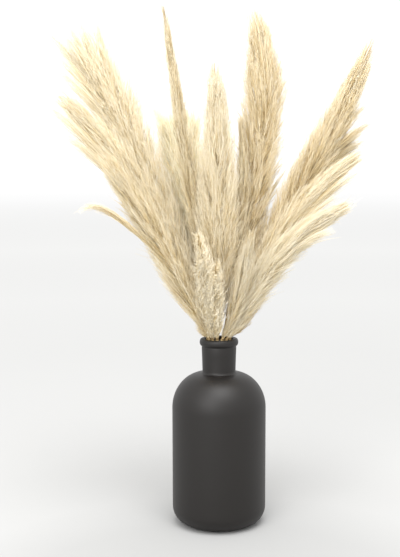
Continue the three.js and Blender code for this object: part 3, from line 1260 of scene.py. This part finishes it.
    def strands(self, kind: Locks) -> Strands:
        """Fill locks with strands.

        Args:
            kind: The locks.

        Returns:
            The strands.
        """
        lock = np.repeat(np.arange(len(kind.lines)), kind.each)
        total = len(lock)
        radius = kind.radius[lock]
        along = np.linspace(0, 1, self.strand_points)
        first = self.random.uniform(*self.strand_starts, total)
        last = self.random.uniform(*kind.ends, total)
        s = between(along, (first[:, None], last[:, None]))
        base = walk(kind.lines, lock[:, None], s)[0]
        span = (kind.lines[:, -1] - kind.lines[:, 0])[lock]
        across = unit(np.cross(span, NEARLY_BACKWARDS))
        back = np.cross(unit(span), across)
        angle = self.random.uniform(0, 2 * math.pi, total)
        distance = np.sqrt(self.random.uniform(0, 1, total)) * radius
        sideways = across * np.cos(angle)[:, None] + back * np.sin(angle)[:, None]
        closing = np.sin(np.clip(s, 0, 1) ** self.lock_power * math.pi) ** self.lock_power
        closing = between(closing, (self.lock_foot, 1))
        opening = between(np.clip(s, 0, self.fan_end), (self.fan_foot, 1))
        fullness = between(kind.fan, (closing, opening))
        places = base + sideways[:, None] * (distance[:, None] * fullness)[..., None]
        stray = self.stray_share * radius[:, None, None] + self.least_stray
        places = places + self.random.normal(0, 1, (total, 1, 3)) * stray * along[None, :, None] ** 2
        length = np.linalg.norm(span, axis=1) * (last - first)
        turns = 2 * math.pi * length
        turns = turns / (self.wave_length * self.random.uniform(*self.wave_length_range, total))
        turn = self.random.uniform(0, 2 * math.pi, total)[:, None] + turns[:, None] * along
        wave = self.wave * self.random.uniform(*self.wave_range, total)[:, None]
        wave = wave * between(along, self.wave_growth)
        places = places + across[:, None] * (np.cos(turn) * wave)[..., None]
        places = places + back[:, None] * (np.sin(turn) * wave)[..., None]
        tone = self.middle_tone + self.stalk.paleness + kind.tone_shift
        tone = tone + self.random.normal(0, self.lock_tones, len(kind.lines))[lock]
        tone = tone + self.random.normal(0, self.strand_tones, total)
        # Painted light at the lock's outside, painted shade deep in it
        tone = tone + self.painted_light_outside * (distance / radius - 0.5)
        # Painted shade deep in the plume and towards its foot
        tone = tone + self.shading(places[:, self.strand_points // 2])
        scale = kind.hair_scale[lock]
        ends = np.stack([first, np.minimum(last, 1.0)], axis=1)
        scale = between(ends, (scale[:, :1], scale[:, 1:]))
        return Strands(places, tone, scale, self.strand_width * kind.strand_scale)

    def ribbons(self, hair: HairMesh, strands: Strands) -> None:
        """Add each strand's own thin ribbon, a few of them dark.

        Args:
            hair: The mesh.
            strands: The strands.
        """
        total, count = strands.places.shape[:2]
        tangent = unit(np.gradient(strands.places, axis=1))
        facing = unit(self.random.normal(0, 1, (total, 1, 3)))
        along = np.linspace(0, 1, count)
        half = strands.width / 2 * between(along, self.strand_taper)
        side = unit(np.cross(tangent, facing)) * half[:, None]
        points = np.stack([strands.places - side, strands.places + side], axis=2)
        first = (np.arange(total)[:, None] * count + np.arange(count - 1)) * 2
        faces = first[..., None, None] + np.array([[0, 1, 3], [0, 3, 2]])
        added = np.where(self.random.uniform(0, 1, total) < self.dark_share, *self.dark_and_pale)
        tone = (strands.tone + added)[:, None, None] + np.array([0.0, TONE_STEP])
        tone = np.broadcast_to(tone, (total, count, 2))
        # Paler towards the strand's end: partly its own paler tip, partly painted shade at its root
        place = np.broadcast_to(self.ribbon_along * along[:, None], (total, count, 2))
        hair.add(points.reshape(-1, 3), faces.reshape(-1, 3), tone.ravel(), place.ravel())

    def hairs(self, hair: HairMesh, strands: Strands) -> None:
        """Clad the strands in fine hairs, each a single slender triangle.

        Args:
            hair: The mesh.
            strands: The strands.
        """
        strand = np.repeat(np.arange(len(strands.places)), self.hairs_per_strand)
        number = len(strand)
        s = self.random.uniform(0, 1, number) ** self.hair_crowding
        foot, step = walk(strands.places, strand, s)
        growth = unit(step)
        aside = self.random.normal(0, 1, (number, 3))
        aside = unit(aside - growth * (aside * growth).sum(1, keepdims=True))
        lean = np.radians(self.random.uniform(*self.hair_lean, number))[:, None]
        direction = growth * np.cos(lean) + aside * np.sin(lean)
        scale = between(s, strands.hair_scale[strand].T)
        length = self.hair_length * scale * self.random.uniform(*self.hair_length_range, number)
        tip = foot + direction * length[:, None]
        facing = unit(self.random.normal(0, 1, (number, 3)))
        half = self.hair_width / 2 * between(s, self.width_up_strand) * between(scale, self.width_by_scale)
        side = unit(np.cross(direction, facing)) * half[:, None]
        points = np.stack([foot - side, foot + side, tip], axis=1)
        faces = np.arange(number * 3).reshape(-1, 3)
        tone = strands.tone[strand] + self.random.normal(0, self.hair_tones, number)
        tone = tone - self.warmer * (self.random.uniform(0, 1, number) < self.warm_share)
        tones = tone[:, None] + np.array([0, TONE_STEP, TONE_STEP / 2])
        # Paler towards each hair's tip and the strand's end: partly own paler tips, partly painted shade at
        # the roots
        place = self.root_along * s[:, None] + np.array([0, 0, self.hair_along])
        hair.add(points.reshape(-1, 3), faces, tones.ravel(), place.ravel())

    def rachis(self, hair: HairMesh) -> None:
        """Add the plume's middle stem, which thins to its tip.

        Args:
            hair: The mesh.
        """
        share = np.linspace(self.start, self.rachis_end, self.rachis_points)
        radius = np.linspace(*self.rachis_radius, self.rachis_points)
        points, faces = tube(self.arch.at(share), radius, self.rachis_sides)
        round_it = np.tile(np.linspace(*self.rachis_tones, self.rachis_sides), self.rachis_points)
        along_it = np.repeat(np.linspace(*self.rachis_along, self.rachis_points), self.rachis_sides)
        tone = np.append(round_it, self.rachis_tones)
        hair.add(points, faces, tone, np.append(along_it, self.rachis_along))

    def build(self, material: bpy.types.Material) -> None:
        """Make the plume, dress it and let it stand for its solid.

        Args:
            material: Its finish.
        """
        hair = HairMesh()
        self.rachis(hair)
        kinds = [self.main_locks(), self.fine_wisps(), self.tip_spikes()]
        if self.stalk.bare < self.skirt_bare:
            kinds.append(self.skirt())
        if self.stalk.fingers:
            kinds += [self.long_fingers(part.value) for part in FingerPart]
        for kind in kinds:
            strands = self.strands(kind)
            self.ribbons(hair, strands)
            self.hairs(hair, strands)
        mesh = hair.build(f"down_{self.stalk.name}")
        finish_piece(mesh, f"plume_{self.stalk.name}", material)


@dataclass(frozen=True)
class StudioFloor(Finish):
    """Matt white card with painted light and shade: darkest just in front of the vase and paler away from
    there.
    """

    name: str = "white_card"
    shades: tuple[tuple[float, str], ...] = (
        (0.0067, "#aaaaa9"),
        (0.011, "#b7b7b6"),
        (0.0207, "#bcbcbb"),
        (0.033, "#bcbcbb"),
        (0.0517, "#c1c1c0"),
        (0.087, "#cececd"),
        (0.163, "#dcdcdb"),
        (0.487, "#eaeaea"),
        (1.0, "#f4f4f4"),
    )
    reach: float = 30.0
    # How far in front of the vase the painted shade is darkest
    darkest_in_front: float = 0.25
    ior: float = 1.5
    roughness: float = 1.0

    def surface(self, tree: bpy.types.NodeTree) -> tuple[dict, dict]:
        """Add the card's painted shade and light, by distance from a point in front of the vase.

        Args:
            tree: The material's tree.

        Returns:
            The shader's own settings and links.
        """
        place = add_node(tree, "ShaderNodeTexCoord")
        shift = {"Location": (0.0, self.darkest_in_front, 0.0)}
        moved = add_node(tree, "ShaderNodeMapping", shift, {"Vector": place.outputs["Object"]})
        distance = add_node(
            tree, "ShaderNodeVectorMath", {"operation": "LENGTH"}, {0: moved.outputs["Vector"]}
        )
        away = add_node(
            tree,
            "ShaderNodeMapRange",
            {"From Min": 0.0, "From Max": self.reach},
            {"Value": distance.outputs["Value"]},
        )
        # Painted shade near and in front of the vase, painted light far off
        shades = add_node(tree, "ShaderNodeValToRGB", links={"Fac": away.outputs["Result"]})
        set_stops(shades, self.shades)
        return {"Specular IOR Level": 0.0}, {"Base Color": shades.outputs["Color"]}


@dataclass
class Studio:
    """The pale floor, the soft lights and the camera at the photograph's viewing angle.

    focal_pixels, frame_height and middle_right_by, the way that the vase stands right of the middle, are
    pixels of the photograph, and pitch_down is degrees.
    """

    frame_height: int = 557
    sensor_mm: float = 36.0
    focal_pixels: float = 1000.0
    camera_distance: float = 1.313
    camera_height: float = 0.473
    pitch_down: float = 6.22
    middle_right_by: float = 19.0
    floor_radius: float = 40.0
    surround: str = "#fdfdfd"
    surround_strength: float = 1.2

    def camera(self) -> None:
        """Set up the camera."""
        data = bpy.data.cameras.new("camera")
        data.sensor_width = self.sensor_mm
        data.lens = self.focal_pixels / self.frame_height * self.sensor_mm
        data.shift_x = -self.middle_right_by / self.frame_height
        data.clip_start = 0.01
        data.clip_end = 200.0
        camera = bpy.data.objects.new("camera", data)
        camera.location = (0.0, -self.camera_distance, self.camera_height)
        camera.rotation_euler = (math.radians(90 - self.pitch_down), 0.0, 0.0)
        bpy.context.scene.collection.objects.link(camera)
        bpy.context.scene.camera = camera

    def floor(self) -> None:
        """Lay the floor under the vase."""
        bpy.ops.mesh.primitive_circle_add(vertices=128, radius=self.floor_radius, fill_type="NGON")
        floor = bpy.context.object
        floor.name = "floor"
        floor.data.materials.append(StudioFloor().build())

    def light(self, name: str, place: Point, aim: Point, size: float, power: float) -> None:
        """Hang one soft square light.

        Args:
            name: Its name.
            place: Where it hangs.
            aim: The point that it faces.
            size: Length of its sides.
            power: Its power in watts.
        """
        data = bpy.data.lights.new(name, "AREA")
        data.size = size
        data.energy = power
        lamp = bpy.data.objects.new(name, data)
        lamp.location = place
        lamp.rotation_euler = (Vector(aim) - Vector(place)).to_track_quat("-Z", "Y").to_euler()
        bpy.context.scene.collection.objects.link(lamp)

    def build(self) -> None:
        """Set up the whole studio."""
        self.camera()
        self.floor()
        self.light("overhead", place=(0.25, -1.4, 3.2), aim=(0.0, 0.0, 0.3), size=2.1, power=98.0)
        self.light("front", place=(-1.2, -2.6, 1.6), aim=(0.0, 0.0, 0.4), size=2.0, power=46.0)
        world = bpy.data.worlds.new("surround")
        world.use_nodes = True
        world.node_tree.nodes.clear()
        glow = add_node(
            world.node_tree,
            "ShaderNodeBackground",
            {"Color": linear(self.surround), "Strength": self.surround_strength},
        )
        add_node(world.node_tree, "ShaderNodeOutputWorld", links={"Surface": glow.outputs["Background"]})
        scene = bpy.context.scene
        scene.world = world
        scene.view_settings.view_transform = "Standard"
        LOG.info("studio ready")


def main() -> None:
    """Build the studio, the vase and every stalk, in order."""
    logging.basicConfig(level=logging.INFO, format="%(message)s")
    Studio().build()
    vase = BottleVase()
    vase.build()
    cane = DriedStem().build()
    downs = {down: down.finish().build() for down in Down}
    for number, stalk in enumerate(STALKS):
        arch = Arch(stalk, vase.height)
        Stem(stalk, arch, vase).build(cane)
        Plume(stalk, arch, number).build(downs[stalk.down])


if __name__ == "__main__":
    main()
